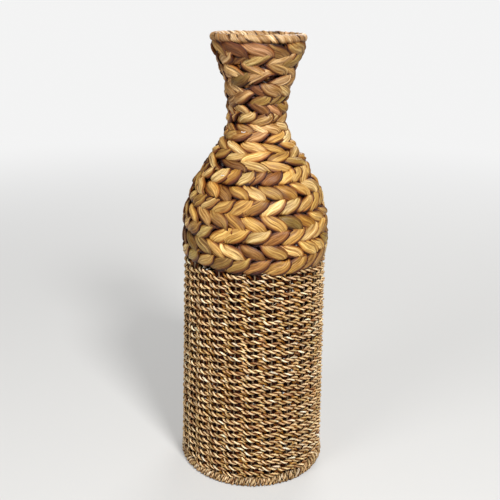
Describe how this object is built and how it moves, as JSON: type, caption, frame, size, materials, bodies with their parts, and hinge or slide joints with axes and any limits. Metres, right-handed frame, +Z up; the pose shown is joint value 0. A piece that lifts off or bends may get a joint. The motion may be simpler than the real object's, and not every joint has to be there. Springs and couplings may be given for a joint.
{
  "type": "woven floor vase",
  "caption": "Tall bottle-shaped floor vase, woven in seagrass rope below and twined water-hyacinth strips above, over a wire frame.",
  "frame": {"origin": "on the vase's axis, at the level of the foot's resting face", "axes": "+Z up along the vase's axis, from the foot to the mouth"},
  "size_m": [0.2078, 0.2078, 0.6002],
  "materials": {
    "seagrass_rope": "dry plant fibre, two-ply, matt",
    "water_hyacinth": "dried stems, creased, slightly glossy",
    "pale_wire": "pale galvanised wire, satin"
  },
  "bodies": {
    "root": {"base_panel": "seagrass_rope", "foot_wrap": "seagrass_rope", "hyacinth_row_01a": "water_hyacinth", "hyacinth_row_01b": "water_hyacinth", "hyacinth_row_02a": "water_hyacinth", "hyacinth_row_02b": "water_hyacinth", "hyacinth_row_03a": "water_hyacinth", "hyacinth_row_03b": "water_hyacinth", "hyacinth_row_04a": "water_hyacinth", "hyacinth_row_04b": "water_hyacinth", "hyacinth_row_05a": "water_hyacinth", "hyacinth_row_05b": "water_hyacinth", "hyacinth_row_06a": "water_hyacinth", "hyacinth_row_06b": "water_hyacinth", "hyacinth_row_07a": "water_hyacinth", "hyacinth_row_07b": "water_hyacinth", "hyacinth_row_08a": "water_hyacinth", "hyacinth_row_08b": "water_hyacinth", "hyacinth_row_09a": "water_hyacinth", "hyacinth_row_09b": "water_hyacinth", "hyacinth_row_10a": "water_hyacinth", "hyacinth_row_10b": "water_hyacinth", "hyacinth_row_11a": "water_hyacinth", "hyacinth_row_11b": "water_hyacinth", "hyacinth_row_12a": "water_hyacinth", "hyacinth_row_12b": "water_hyacinth", "hyacinth_row_13a": "water_hyacinth", "hyacinth_row_13b": "water_hyacinth", "hyacinth_row_14a": "water_hyacinth", "hyacinth_row_14b": "water_hyacinth", "hyacinth_row_15a": "water_hyacinth", "hyacinth_row_15b": "water_hyacinth", "hyacinth_row_16a": "water_hyacinth", "hyacinth_row_16b": "water_hyacinth", "hyacinth_row_17a": "water_hyacinth", "hyacinth_row_17b": "water_hyacinth", "hyacinth_row_18a": "water_hyacinth", "hyacinth_row_18b": "water_hyacinth", "hyacinth_row_19a": "water_hyacinth", "hyacinth_row_19b": "water_hyacinth", "hyacinth_row_20a": "water_hyacinth", "hyacinth_row_20b": "water_hyacinth", "rim_wrap": "water_hyacinth", "seagrass_weaver_a": "seagrass_rope", "seagrass_weaver_b": "seagrass_rope", "wire_frame": "pale_wire"}
  },
  "joints": []
}
